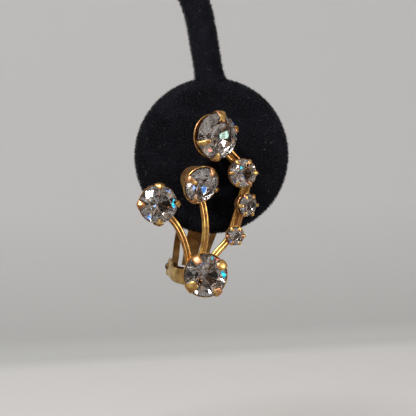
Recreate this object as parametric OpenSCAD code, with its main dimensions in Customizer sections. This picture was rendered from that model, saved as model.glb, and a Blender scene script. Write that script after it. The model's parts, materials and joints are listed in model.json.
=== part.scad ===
/* [Stand] */
// Radius of the round velvet pad
pad_r = 16.2; // [13:0.5:20]
// Thickness of the pad
pad_t = 5; // [4:0.25:6.5]
// Radius of the pad's rounded edge
pad_edge_r = 1.8; // [1:0.1:1.9]
// Height of the pad's centre above the table
pad_z = 75; // [65:1:95]
// Diameter of the curved neck
neck_d = 6.2; // [5:0.1:7]
// Lean of the neck where it leaves the pad, in degrees
neck_lean = 9.5; // [4:0.5:15]
// Distance of the neck's line from the pad's centre
neck_shift = 2.2; // [0:0.1:4]
// Length of the straight neck between the pad and the arch
neck_run = 11; // [6:0.5:16]
// Radius of the arch, to the middle of the neck
arch_r = 25; // [20:0.5:32]
// Radius of the foot
foot_r = 26; // [22:0.5:34]
// Thickness of the foot
foot_t = 6; // [5:0.25:9]
// Radius of the foot's upper edge
foot_edge_r = 2; // [1:0.25:3]
// Distance of the neck's upright from the foot's centre
foot_shift = 16; // [8:0.5:18]
// Diameter of the peg that joins the neck to the pad
peg_d = 2.4; // [1.6:0.1:2.8]
// Length of that peg inside the pad
peg_l = 5; // [3:0.25:8]
// Depth of the neck's socket in the foot
socket_l = 4; // [2.5:0.25:4.5]

/* [Spray] */
// Height of the top stone above the base stone, centre to centre
spray_h = 28.4; // [24:0.2:33]
// Width from the left stone to the side stone, centre to centre
spray_w = 18.8; // [17:0.2:23]
// Height of the pad's centre above the base stone
base_drop = 24; // [22.5:0.25:27]
// Distance of the base stone to the left of the pad's centre
base_left = 2.7; // [0:0.1:5]
// Diameter of the base stone
base_d = 8.6; // [7.5:0.1:9.5]
// Diameter of the left stone
left_d = 7.8; // [6.5:0.1:8.5]
// Diameter of the middle stone
middle_d = 7.4; // [6.5:0.1:8]
// Diameter of the top stone
top_d = 9.4; // [8:0.1:10.5]
// Diameter of the upper stone of the side branch
upper_d = 5.6; // [4.6:0.1:6]
// Diameter of the side stone of the branch
side_d = 4.4; // [3.6:0.1:5]
// Diameter of the lower stone of the branch
lower_d = 3.5; // [3:0.1:4]
// Diameter of the three stem wires
stem_d = 1.5; // [1.3:0.05:2]
// Diameter of each of the two wires of the branch rail
rail_d = 1.2; // [1:0.05:1.4]
// Distance between the middles of the two rail wires
rail_pitch = 1.1; // [0.8:0.05:1.2]
// Wall of the setting cups
cup_wall = 0.35; // [0.25:0.05:0.5]
// How far the prongs stand out of the cup's wall
prong_proud = 0.2; // [0.1:0.05:0.3]
// Thickness of a prong's tip over the stone
prong_tip_t = 0.4; // [0.25:0.05:0.6]

/* [Clip] */
// Lean of the clip to the right, in degrees
clip_lean = 12.8; // [5:0.2:18]
// Distance of the clip's middle to the left of the base stone
clip_left = 1.9; // [0:0.1:2.5]
// Distance of the hinge below the base stone
clip_drop = 0.4; // [0:0.1:1.5]
// Width of the lever at its hinge
lever_w = 7.4; // [6.5:0.1:9]
// Width of the lever's round pad
paddle_w = 9.4; // [8.5:0.1:11]
// Length of the lever from the hinge to its tip
lever_l = 18; // [16:0.25:21]
// Width of each leg of the lever
leg_w = 1.35; // [1.1:0.05:1.6]
// Width of the spring tongue at its tip
tongue_w = 2.9; // [2:0.1:3.2]
// Thickness of the lever's sheet
lever_t = 0.7; // [0.5:0.05:0.9]
// Outward bow of the lever
lever_bow = 1; // [0.5:0.1:1.6]
// How far the pin lies behind the middle of the closed paddle's sheet
pin_back = 0.9; // [0.6:0.05:1.4]
// Wall of the eyes at the ends of the legs
eye_wall = 0.55; // [0.4:0.05:0.7]
// Gap between the tongue's tip and the pin
tongue_gap = 0.4; // [0.2:0.05:0.8]
// Width of each slot between a leg and the tongue, at its upper end
slot_w = 1.4; // [1:0.05:1.6]
// Diameter of the hinge pin
pin_d = 1; // [0.8:0.05:1.2]
// Thickness of the hinge bracket's sheet
bracket_t = 0.7; // [0.5:0.05:0.9]
// Height of the bracket's front plate
bracket_h = 2.8; // [2.5:0.1:3.6]
// Radius of the round ear about the pin
ear_r = 2.1; // [1.6:0.1:2.4]
// How far each end of the pin stands out of the ears
pin_knob = 0.6; // [0.5:0.1:1.2]

/* [Clearance] */
// Gap between the pad and the metal that lies against it
rest_gap = 0.3; // [0.2:0.05:0.5]
// Gap between the pad and the closed lever
grip_gap = 0.15; // [0.1:0.05:0.4]
// Gap round a stone in its setting
stone_gap = 0.05; // [0.03:0.01:0.1]
// Gap round the pin in the lever's eyes and in the ears
pin_gap = 0.04; // [0.02:0.01:0.08]
// Gap of the neck's ends in the pad and in the foot
socket_gap = 0.08; // [0.04:0.01:0.15]

/* [Hidden] */
$fn = 48;
eps = 0.01;

gold = [0.72, 0.5, 0.2];
dark_brass = [0.45, 0.32, 0.12];
crystal = [0.86, 0.86, 0.9];
velvet = [0.03, 0.03, 0.04];

// Places that the sizes above lead to. The origin is the middle of the foot's underside.
arch_x = arch_r - foot_shift;
neck_end_x = arch_x + arch_r * cos(neck_lean);
pad_x = neck_end_x + (pad_r + neck_run) * sin(neck_lean) - neck_shift / cos(neck_lean);
arch_z = pad_z + (pad_r + neck_run) * cos(neck_lean) - arch_r * sin(neck_lean);
pad_face = pad_t / 2;

// Shares of a cut stone's diameter that give its facets
table_share = 0.29;
crown_share = 0.16;
star_share = 0.4;
girdle_share = 0.03;
pavilion_share = 0.43;
belly_share = 0.44;
facets = 8;

// One row a setting. Stone diameter; x and z of its centre from the base stone, as shares of spray_w
// and spray_h; turn to the right and tilt up, in degrees; number of prongs, the first one's angle and
// how far each second prong stands nearer to it than an even spacing; a prong's width and the cup's
// depth and open height above its wall, as shares of the diameter; and the cup's back radius as a
// share of its mouth.
DIAMETER = 0;
SHARE_X = 1;
SHARE_Z = 2;
TURN = 3;
TILT = 4;
PRONGS = 5;
FIRST = 6;
PINCH = 7;
PRONG_W = 8;
DEPTH = 9;
OPEN = 10;
BACK = 11;
BASE = 0;
LEFT = 1;
MIDDLE = 2;
TOP = 3;
UPPER = 4;
SIDE = 5;
LOWER = 6;
settings = [
    [base_d, 0, 0, -4, 3, 4, 34, 0, 0.18, 0.62, 0.07, 0.6],
    [left_d, -0.512, 0.518, 5, 2, 4, 0, 0, 0.16, 0.62, 0.12, 0.58],
    [middle_d, -0.045, 0.65, 22, -18, 4, 67, 0, 0.15, 0.64, 0.03, 0.6],
    [top_d, 0.125, 1, 24, 0, 4, 14, 22, 0.15, 0.55, 0.07, 0.42],
    [upper_d, 0.42, 0.732, 2, 4, 6, 0, 0, 0.15, 0.64, 0.12, 0.6],
    [side_d, 0.49, 0.496, 28, -6, 6, 0, 0, 0.17, 0.66, 0.12, 0.6],
    [lower_d, 0.35, 0.273, 4, -4, 6, 0, 0, 0.19, 0.68, 0.12, 0.6]
];

function mouth_r(s) = s[DIAMETER] / 2 + stone_gap + cup_wall;
function back_r(s) = mouth_r(s) * s[BACK];
function cup_depth(s) = s[DIAMETER] * s[DEPTH];
function prong_angle(s, k) = s[FIRST] + 360 * k / s[PRONGS] - (k % 2) * s[PINCH];
function lean_of(s) = acos(cos(s[TURN]) * cos(s[TILT]));

// How far in front of the pad's middle the centre of a cup's back lies: the base cup is soldered to
// the clip's bracket, the three small cups on the rail, and the others lie on the pad.
function back_y(i) =
    i == BASE ? pad_face + rest_gap - bracket_t / 2 :
    i >= UPPER ? pad_face + rest_gap + rail_d / 2 :
    pad_face + rest_gap + back_r(settings[i]) * sin(lean_of(settings[i]));

// Centre of a stone's girdle, from the pad's centre
function stone_at(i) = let (s = settings[i]) [
    s[SHARE_X] * spray_w - base_left,
    -back_y(i) - cup_depth(s) * cos(lean_of(s)),
    s[SHARE_Z] * spray_h - base_drop
];

// A point in a cup: at an angle about its axis, a share of the way from its back to its mouth, and
// a share of the way from the axis to the wall there
function in_cup(i, angle, up, out) = let (
        s = settings[i],
        r = out * (back_r(s) + (mouth_r(s) - back_r(s)) * up),
        z = -cup_depth(s) * (1 - up),
        p = [r * cos(angle), r * sin(angle) * cos(90 - s[TILT]) - z * sin(90 - s[TILT]),
             r * sin(angle) * sin(90 - s[TILT]) + z * cos(90 - s[TILT])])
    stone_at(i) + [p.x * cos(s[TURN]) - p.y * sin(s[TURN]), p.x * sin(s[TURN]) + p.y * cos(s[TURN]), p.z];

// Places a setting's own frame: x to its right, y up its face, z out of the stone
module at_setting(i) {
    s = settings[i];
    translate([pad_x, 0, pad_z] + stone_at(i))
        rotate([90 - s[TILT], 0, s[TURN]])
            children();
}

// Height of the crown at a radius, for a stone of diameter d
function crown_z(d, r) =
    d * girdle_share / 2 + d * crown_share * (d / 2 - r) / (d / 2 - d * table_share);

// A ring of n points
function ring(n, r, z, first) = [for (k = [0 : n - 1]) [r * cos(first + 360 * k / n), r * sin(first + 360 * k / n), z]];

// How far up the cup's wall a prong starts, and how far over the crown it reaches and slopes, as
// shares of the cup's depth and of the stone's diameter
prong_start = 0.45;
prong_reach = 0.1;
prong_slope = 0.03;

// Round brilliant: an octagonal table, stars, kites and girdle facets above, kites to a point below
module cut_stone(d) {
    half = 180 / facets;
    r = d / 2;
    girdle = d * girdle_share / 2;
    table = d * table_share;
    crown = crown_z(d, table);
    star = d * star_share;
    star_z = girdle + (crown - girdle) * (r - star * cos(half)) / (r - table);
    belly = d * belly_share;
    culet = -girdle - d * pavilion_share;
    belly_z = culet + (-girdle - culet) * belly * cos(half) / r;
    n = facets;
    points = concat(
        ring(n, table, crown, 0), ring(n, star, star_z, half), ring(2 * n, r, girdle, 0),
        ring(2 * n, r, -girdle, 0), ring(n, belly, belly_z, half), [[0, 0, culet]]);
    t0 = 0;
    s0 = n;
    g0 = 2 * n;
    h0 = 4 * n;
    b0 = 6 * n;
    tip = 7 * n;
    faces = concat(
        [[for (k = [n - 1 : -1 : 0]) t0 + k]],
        [for (k = [0 : n - 1]) [t0 + k, t0 + (k + 1) % n, s0 + k]],
        [for (k = [0 : n - 1]) [t0 + k, s0 + k, g0 + 2 * k, s0 + (k + n - 1) % n]],
        [for (k = [0 : n - 1]) [s0 + k, g0 + 2 * k + 1, g0 + 2 * k]],
        [for (k = [0 : n - 1]) [s0 + k, g0 + (2 * k + 2) % (2 * n), g0 + 2 * k + 1]],
        [for (k = [0 : 2 * n - 1]) [g0 + k, g0 + (k + 1) % (2 * n), h0 + (k + 1) % (2 * n), h0 + k]],
        [for (k = [0 : n - 1]) [h0 + 2 * k, h0 + 2 * k + 1, b0 + k]],
        [for (k = [0 : n - 1]) [h0 + 2 * k + 1, h0 + (2 * k + 2) % (2 * n), b0 + k]],
        [for (k = [0 : n - 1]) [h0 + 2 * k, b0 + k, tip, b0 + (k + n - 1) % n]]);
    polyhedron(points, faces, convexity = 2);
}

// Outside of a setting cup, with its mouth at the girdle's back edge or lower where it is open
module cup_body(s) {
    d = s[DIAMETER];
    low = -cup_depth(s);
    rim = -d * s[OPEN];
    rim_r = back_r(s) + (mouth_r(s) - back_r(s)) * (rim - low) / -low;
    rotate_extrude()
        polygon([[0, low], [back_r(s), low], [rim_r, rim], [0, rim]]);
}

// One prong: a strip up the cup's wall that bends over the stone's crown
module prong(s) {
    d = s[DIAMETER];
    r = d / 2;
    low = -cup_depth(s) * (1 - prong_start);
    low_r = back_r(s) + (mouth_r(s) - back_r(s)) * prong_start;
    reach = r - d * prong_reach;
    over = crown_z(d, reach) + stone_gap;
    width = 360 * s[PRONG_W] / PI;
    rotate([0, 0, -width / 2])
        rotate_extrude(angle = width)
            polygon([
                [low_r - cup_wall / 2, low],
                [low_r + prong_proud, low],
                [mouth_r(s) + prong_proud, 0],
                [mouth_r(s) + prong_proud / 2, crown_z(d, r) + prong_tip_t],
                [r - d * prong_slope, over + prong_tip_t],
                [reach, over + prong_tip_t / 2],
                [reach, over - prong_tip_t / 2],
                [r - cup_wall / 2, 0]
            ]);
}

// The room for a stone in its cup: it follows the crown under the prongs and hollows the cup
module stone_room(s) {
    d = s[DIAMETER];
    r = d / 2;
    low = -cup_depth(s);
    shoulder = d * girdle_share / 2 + stone_gap;
    table = d * table_share;
    top = crown_z(d, table) + stone_gap;
    rotate_extrude()
        polygon([
            [0, low + cup_wall],
            [back_r(s) - cup_wall, low + cup_wall],
            [r + stone_gap, -d * girdle_share],
            [r + stone_gap, shoulder],
            [table, top],
            [table, top + d],
            [0, top + d]
        ]);
}

// Outline of a round wire, and of the rail: two round wires side by side, soldered along their groove
wire_sides = 10;
function wire_outline(d) = [for (j = [0 : wire_sides - 1]) d / 2 * [cos(360 * j / wire_sides), sin(360 * j / wire_sides)]];
function rail_outline(d, pitch) = [
    for (side = [1, -1], j = [-3 : 3])
        [side * (pitch / 2 + d / 2 * cos(40 * j)), side * d / 2 * sin(40 * j)]
];

// A wire swept along points: the outline's x lies in the plane of the spray, its y out of the front
module swept_wire(path, outline) {
    n = len(outline);
    last = len(path) - 1;
    rings = [for (k = [0 : last])
        let (
            t = path[min(k + 1, last)] - path[max(k - 1, 0)],
            along = t / norm(t),
            side = cross([0, 1, 0], along) / norm(cross([0, 1, 0], along)),
            front = cross(side, along))
        [for (o = outline) path[k] + side * o.x + front * o.y]];
    points = [for (r = rings) for (p = r) p];
    faces = concat(
        [[for (j = [n - 1 : -1 : 0]) j]],
        [[for (j = [0 : n - 1]) last * n + j]],
        [for (k = [0 : last - 1]) for (j = [0 : n - 1]) let (i = (j + 1) % n)
            [k * n + j, k * n + i, (k + 1) * n + i]],
        [for (k = [0 : last - 1]) for (j = [0 : n - 1]) let (i = (j + 1) % n)
            [k * n + j, (k + 1) * n + i, (k + 1) * n + j]]);
    polyhedron(points, faces, convexity = 6);
}

// A direction in the plane of the spray that leans to the right of straight up
function up_leaning(a) = [sin(a), 0, cos(a)];

// Points of a cubic curve with handles as shares of its span
function curve(a, b, lean_a, lean_b, share, steps) = let (
        span = norm(b - a) * share,
        p = a + span * up_leaning(lean_a),
        q = b - span * up_leaning(lean_b))
    [for (k = [0 : steps]) let (t = k / steps, u = 1 - t)
        u * u * u * a + 3 * u * u * t * p + 3 * u * t * t * q + t * t * t * b];

// One row a stem. Setting it carries; its angle on the base cup; its lean there and at its end;
// and its angle on the far cup.
stems = [
    [LEFT, 152, -12, -50, -45],
    [MIDDLE, 106, 22, -16, -62],
    [LOWER, 62, 26, 34, 215]
];
stem_up = 0.5;
stem_out = 0.85;
stem_steps = 12;
stem_handle = 0.36;

// Points of the rail that carries the three small settings, from the lower one to the top setting
rail_stops = [
    in_cup(LOWER, 0, 0, 0),
    in_cup(SIDE, 0, 0, 0.3),
    in_cup(UPPER, 0, 0, 0.6),
    in_cup(TOP, -30, 0.35, 0.9)
];
rail_steps = 6;

// A smooth line through four stops, with the ends' directions taken from their neighbours
function through(stops, steps) = let (
        m = len(stops) - 1,
        ext = concat([2 * stops[0] - stops[1]], stops, [2 * stops[m] - stops[m - 1]]))
    [for (k = [0 : m * steps])
        let (
            i = min(floor(k / steps), m - 1),
            t = k / steps - i,
            a = ext[i], b = ext[i + 1], c = ext[i + 2], e = ext[i + 3])
        0.5 * (2 * b + (c - a) * t + (2 * a - 5 * b + 4 * c - e) * t * t + (3 * b - 3 * c + e - a) * t * t * t)];

// The clip's own frame: the pin's middle, x along the pin to the right, z up the lever
pin_y = pad_face + grip_gap + lever_t / 2 + pin_back;
plate_y = -pad_face - rest_gap;
ear_clear = 0.1;
ear_in = lever_w / 2 + ear_clear;
ear_out = ear_in + bracket_t;
plate_low = 0.75 * bracket_h;
module at_pin() {
    translate([pad_x - base_left - clip_left, pin_y, pad_z - base_drop - clip_drop])
        rotate([0, clip_lean, 0])
            children();
}

// A straight round bar along the pin, of a length about the clip's middle
module along_pin(r, l) {
    rotate([0, 90, 0])
        cylinder(r = r, h = l, center = true);
}

// The front plate of the bracket and its two ears
module bracket() {
    back = plate_y - pin_y;
    at_pin() {
        translate([-ear_out, back, -plate_low])
            cube([2 * ear_out, bracket_t, bracket_h]);
        for (side = [-1, 1])
            translate([side * (ear_in + bracket_t / 2), 0, 0]) {
                along_pin(ear_r, bracket_t);
                translate([-bracket_t / 2, back, -bracket_h / 2])
                    cube([bracket_t, -back, plate_low]);
            }
    }
}

module spray_frame() {
    color(gold)
        difference() {
            union() {
                for (i = [BASE : LOWER])
                    at_setting(i) {
                        cup_body(settings[i]);
                        for (k = [0 : settings[i][PRONGS] - 1])
                            rotate([0, 0, prong_angle(settings[i], k)])
                                prong(settings[i]);
                    }
                translate([pad_x, 0, pad_z]) {
                    for (stem = stems)
                        swept_wire(
                            curve(in_cup(BASE, stem[1], stem_up, stem_out), in_cup(stem[0], stem[4], stem_up, stem_out),
                                  stem[2], stem[3], stem_handle, stem_steps),
                            wire_outline(stem_d));
                    swept_wire(through(rail_stops, rail_steps), rail_outline(rail_d, rail_pitch));
                }
                bracket();
            }
            for (i = [BASE : LOWER])
                at_setting(i)
                    stone_room(settings[i]);
            at_pin()
                along_pin(pin_d / 2 + pin_gap, 2 * ear_out + 2 * eps);
        }
}

module stone(i) {
    color(crystal)
        at_setting(i)
            cut_stone(settings[i][DIAMETER]);
}

module stone_base() { stone(BASE); }
module stone_left() { stone(LEFT); }
module stone_middle() { stone(MIDDLE); }
module stone_top() { stone(TOP); }
module stone_upper() { stone(UPPER); }
module stone_side() { stone(SIDE); }
module stone_lower() { stone(LOWER); }

// The pin runs through both ears and both legs, and its peened ends keep it there
module hinge_pin() {
    head_l = pin_knob - pin_gap;
    head_r = pin_d * 0.75;
    color(gold)
        at_pin() {
            along_pin(pin_d / 2, 2 * (ear_out + pin_knob));
            for (side = [-1, 1])
                translate([side * (ear_out + pin_gap + head_l / 2), 0, 0])
                    along_pin(head_r, head_l);
        }
}

// Shares of the lever's length: where it starts to lie on the pad, and where its slots end
lever_flat = 0.62;
lever_slot = 0.56;

// Side line of the lever: how far its sheet's middle lies behind the pin at a height
function lever_y(z) = let (
        flat = lever_l * lever_flat,
        u = min(max(z / flat, 0), 1),
        rest = pad_face + grip_gap + lever_t / 2 - pin_y)
    rest * u * u * (3 - 2 * u) + lever_bow * pow(sin(180 * u), 2);

// The slot between a leg and the tongue: it widens upward and has a bevelled end
module slot_outline(side, top) {
    tongue = tongue_w / 2;
    leg = lever_w / 2 - leg_w;
    spread = tongue + (slot_w - (leg - tongue)) / 2;
    bevel = slot_w / 3;
    polygon([
        [side * tongue, -slot_w],
        [side * leg, -slot_w],
        [side * leg, ear_r],
        [side * (spread + slot_w), top - bevel],
        [side * (spread + slot_w - bevel), top],
        [side * (spread + bevel), top],
        [side * spread, top - bevel],
        [side * tongue, ear_r]
    ]);
}

module lever_outline() {
    shoulder = lever_l - paddle_w / 2;
    slot_top = lever_l * lever_slot;
    foot_half = lever_w / 2;
    wide_half = paddle_w / 2;
    neck = ear_r + ear_clear;
    difference() {
        union() {
            polygon([
                [-foot_half, 0], [foot_half, 0], [foot_half, neck], [wide_half, shoulder],
                [-wide_half, shoulder], [-foot_half, neck]
            ]);
            translate([0, shoulder])
                circle(r = wide_half);
        }
        for (side = [-1, 1])
            slot_outline(side, slot_top);
        translate([-tongue_w / 2 - eps, -slot_w])
            square([tongue_w + 2 * eps, slot_w + pin_d / 2 + tongue_gap]);
    }
}

// The lever: one sheet, cut into two legs and a spring tongue, with an eye at the end of each leg
module clip_lever() {
    steps = 18;
    side_line = [for (k = [0 : steps]) let (z = lever_l * k / steps) [lever_y(z), z]];
    color(dark_brass)
        at_pin()
            difference() {
                union() {
                    intersection() {
                        rotate([90, 0, 0])
                            linear_extrude(2 * paddle_w, center = true)
                                lever_outline();
                        rotate([90, 0, 90])
                            linear_extrude(2 * paddle_w, center = true)
                                polygon(concat(
                                    [for (p = side_line) p + [lever_t / 2, 0]],
                                    [for (k = [steps : -1 : 0]) side_line[k] - [lever_t / 2, 0]]));
                    }
                    for (side = [-1, 1])
                        translate([side * (lever_w - leg_w) / 2, 0, 0])
                            along_pin(pin_d / 2 + pin_gap + eye_wall, leg_w);
                }
                along_pin(pin_d / 2 + pin_gap, lever_w + 2 * eps);
            }
}

// Round velvet pad on edge, with the socket for the neck's peg
module stand_pad() {
    flat = pad_r - pad_edge_r;
    half = pad_t / 2 - pad_edge_r;
    color(velvet)
        difference() {
            translate([pad_x, 0, pad_z])
                rotate([90, 0, 0])
                    rotate_extrude($fn = 96)
                        intersection() {
                            union() {
                                translate([0, -pad_t / 2])
                                    square([flat, pad_t]);
                                translate([0, -half])
                                    square([pad_r, 2 * half]);
                                for (side = [-1, 1])
                                    translate([flat, side * half])
                                        circle(r = pad_edge_r);
                            }
                            translate([0, -pad_t / 2])
                                square([pad_r, pad_t]);
                        }
            neck_line()
                translate([0, 0, neck_run - eps])
                    cylinder(r = peg_d / 2 + socket_gap, h = peg_l + socket_gap + pad_r);
        }
}

// The straight part of the neck's line: origin where the arch ends, z down towards the pad
module neck_line() {
    translate([neck_end_x, 0, arch_z + arch_r * sin(neck_lean)])
        rotate([0, 180 - neck_lean, 0])
            children();
}

// Curved velvet neck: an upright, an arch and a straight run to the pad
module stand_neck() {
    upright = arch_z - foot_t + socket_l - socket_gap;
    bar_r = neck_d / 2 - eps;
    lap = neck_d / 20;
    into_pad = pad_r / 2;
    color(velvet) {
        translate([arch_x - arch_r, 0, arch_z - upright])
            cylinder(r = bar_r, h = upright + lap);
        translate([arch_x, 0, arch_z])
            rotate([90, 0, 0])
                rotate([0, 0, neck_lean])
                    rotate_extrude(angle = 180 - neck_lean, $fn = 96)
                        translate([arch_r, 0])
                            circle(r = neck_d / 2);
        difference() {
            neck_line()
                translate([0, 0, -lap])
                    cylinder(r = bar_r, h = lap + neck_run + into_pad);
            translate([pad_x, neck_d, pad_z])
                rotate([90, 0, 0])
                    cylinder(r = pad_r + socket_gap, h = 2 * neck_d, $fn = 96);
        }
        neck_line()
            cylinder(r = peg_d / 2, h = neck_run + peg_l);
    }
}

// Flat round foot, with the neck's socket
module stand_foot() {
    color(velvet)
        difference() {
            rotate_extrude($fn = 96) {
                square([foot_r - foot_edge_r, foot_t]);
                square([foot_r, foot_t - foot_edge_r]);
                intersection() {
                    translate([foot_r - foot_edge_r, foot_t - foot_edge_r])
                        circle(r = foot_edge_r);
                    square([foot_r, foot_t]);
                }
            }
            translate([-foot_shift, 0, foot_t - socket_l])
                cylinder(r = neck_d / 2 + socket_gap, h = socket_l + eps);
        }
}

stand_foot();
stand_neck();
stand_pad();
spray_frame();
stone_base();
stone_left();
stone_middle();
stone_top();
stone_upper();
stone_side();
stone_lower();
hinge_pin();
clip_lever();
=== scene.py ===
import json
import math
from collections import namedtuple

import bmesh
import bpy
from mathutils import Matrix, Vector
from mathutils.geometry import interpolate_bezier


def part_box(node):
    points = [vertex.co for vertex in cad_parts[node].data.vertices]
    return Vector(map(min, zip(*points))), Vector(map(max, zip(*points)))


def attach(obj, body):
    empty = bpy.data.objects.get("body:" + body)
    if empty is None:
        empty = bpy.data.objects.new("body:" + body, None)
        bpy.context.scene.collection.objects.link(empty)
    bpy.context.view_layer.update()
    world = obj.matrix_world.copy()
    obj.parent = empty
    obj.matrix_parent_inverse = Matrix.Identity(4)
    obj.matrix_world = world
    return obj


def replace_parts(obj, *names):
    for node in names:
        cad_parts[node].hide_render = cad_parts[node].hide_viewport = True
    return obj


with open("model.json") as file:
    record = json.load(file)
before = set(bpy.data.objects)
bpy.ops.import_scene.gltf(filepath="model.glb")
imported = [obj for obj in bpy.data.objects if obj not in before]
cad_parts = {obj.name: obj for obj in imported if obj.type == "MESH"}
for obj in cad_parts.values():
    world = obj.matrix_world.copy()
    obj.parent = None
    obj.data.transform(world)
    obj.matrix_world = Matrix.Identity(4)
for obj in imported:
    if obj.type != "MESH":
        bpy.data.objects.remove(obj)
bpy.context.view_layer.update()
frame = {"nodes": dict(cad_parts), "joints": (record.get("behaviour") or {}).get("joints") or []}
MM = 0.001

# Round pad of the stand: a plastic disc that stands in for the ear lobe, coated with black flock.
# Short fibres are shot upright into glue, so its face is dull and its outline is soft.
pad_low, pad_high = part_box("stand_pad")
pad_centre = (pad_low + pad_high) / 2
pad_r = (pad_high.x - pad_low.x) / 2
pad_half = (pad_high.y - pad_low.y) / 2
pad_edge_r = 1.8 * MM
fibre_l = 0.5 * MM
fibre_w = 0.05 * MM
fibre_lean = 0.6
fibre_shortest = 0.6
fibre_longest = 1.2
flock_sink = 0.25 * MM
same_point = MM / 1e4
turn_steps = 96
edge_steps = 6
face_rings = 6


def put(tree, kind, inputs, **settings):
    """Places a node in a tree, with each input joined to a socket or set to a value"""
    made = tree.nodes.new(kind)
    for name, value in settings.items():
        setattr(made, name, value)
    for name, value in inputs.items():
        if isinstance(value, bpy.types.NodeSocket):
            tree.links.new(value, made.inputs[name])
        else:
            made.inputs[name].default_value = value
    return made


def finish_of(name, **constants):
    """A new material with a Principled shader that has these constants, and its tree"""
    material = bpy.data.materials.new(name)
    material.use_nodes = True
    shader = material.node_tree.nodes["Principled BSDF"]
    for socket, value in constants.items():
        shader.inputs[socket.replace("_", " ")].default_value = value
    return material, material.node_tree, shader


def spread(tree, scale, detail, at):
    """Soft noise of a number of cells a metre, read at object coordinates"""
    return put(tree, "ShaderNodeTexNoise", {"Vector": at, "Scale": scale, "Detail": detail}).outputs["Fac"]


def ramp(tree, value, stops):
    """Colour of a value between stops of (value, grey or colour)"""
    made = put(tree, "ShaderNodeValToRGB", {"Fac": value})
    bar = made.color_ramp.elements
    while len(bar) < len(stops):
        bar.new(0.5)
    for element, (place, colour) in zip(bar, stops):
        element.position = place
        element.color = (*colour, 1) if hasattr(colour, "__len__") else (colour, colour, colour, 1)
    return made.outputs["Color"]


def mixed(tree, share, under, over, **settings):
    """A colour laid over another by a share"""
    return put(tree, "ShaderNodeMix", {0: share, 6: under, 7: over}, data_type="RGBA", **settings).outputs[2]


def velvet_finish():
    """Black flock: brushed patches, grey lint here and there, and a faint sheen at grazing angles"""
    material, tree, shader = finish_of(
        "black_flock", Roughness=1, Specular_IOR_Level=0.05, Sheen_Weight=0.22, Sheen_Roughness=0.35)
    at = tree.nodes.new("ShaderNodeTexCoord").outputs["Object"]
    brushed = ramp(tree, spread(tree, 160, 3, at), [
        (0.35, (0.0036, 0.0037, 0.0056)), (0.7, (0.0094, 0.0097, 0.0145))])
    lint = ramp(tree, spread(tree, 1500, 3, at), [(0.67, 0), (0.73, 1)])
    tree.links.new(mixed(tree, lint, brushed, (0.055, 0.055, 0.06, 1)), shader.inputs["Base Color"])
    return material


def turned(outline, steps):
    """A form turned about its own z axis from an outline of (radius, height) points"""
    bm = bmesh.new()
    line = [bm.verts.new((r, 0, z)) for r, z in outline]
    edges = [bm.edges.new(pair) for pair in zip(line, line[1:])]
    bmesh.ops.spin(
        bm, geom=line + edges, cent=(0, 0, 0), axis=(0, 0, 1), angle=math.tau, steps=steps, use_merge=True)
    bmesh.ops.remove_doubles(bm, verts=bm.verts, dist=same_point)
    bmesh.ops.recalc_face_normals(bm, faces=bm.faces)
    return bm


def arc(centre, radius, start, end, steps):
    """Points of a round stretch of an outline, angles in degrees"""
    turns = [math.radians(start + (end - start) * k / steps) for k in range(steps + 1)]
    return [(centre[0] + radius * math.cos(a), centre[1] + radius * math.sin(a)) for a in turns]


def in_order(bm):
    """Makes the faces anew in the order of their corners. Extruding leaves that order to chance, and the
    flock's fibres are drawn face by face."""
    bm.verts.index_update()
    faces = []
    for face in bm.faces:
        ring = [vert.index for vert in face.verts]
        first = ring.index(min(ring))
        faces.append((ring[first:] + ring[:first], face.material_index))
    bmesh.ops.delete(bm, geom=bm.edges[:] + bm.faces[:], context="EDGES_FACES")
    bm.verts.ensure_lookup_table()
    for k, (ring, material_index) in enumerate(sorted(faces)):
        face = bm.faces.new([bm.verts[corner] for corner in ring])
        face.material_index = material_index
        face.index = k
    bm.faces.sort()
    bm.edges.sort(key=lambda edge: edge.verts[0].index * len(bm.verts) + edge.verts[1].index)
    bm.normal_update()


def as_piece(bm, name, material, body="stand_and_spray", sharp=40):
    """Makes a bmesh a piece that rides on a body, smooth apart from its edges sharper than an angle"""
    in_order(bm)
    for edge in bm.edges:
        edge.smooth = edge.calc_face_angle(0) < math.radians(sharp)
    for face in bm.faces:
        face.smooth = True
    mesh = bpy.data.meshes.new(name)
    bm.to_mesh(mesh)
    bm.free()
    mesh.materials.append(material)
    piece = bpy.data.objects.new(name, mesh)
    bpy.context.scene.collection.objects.link(piece)
    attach(piece, body)
    return piece


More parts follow.
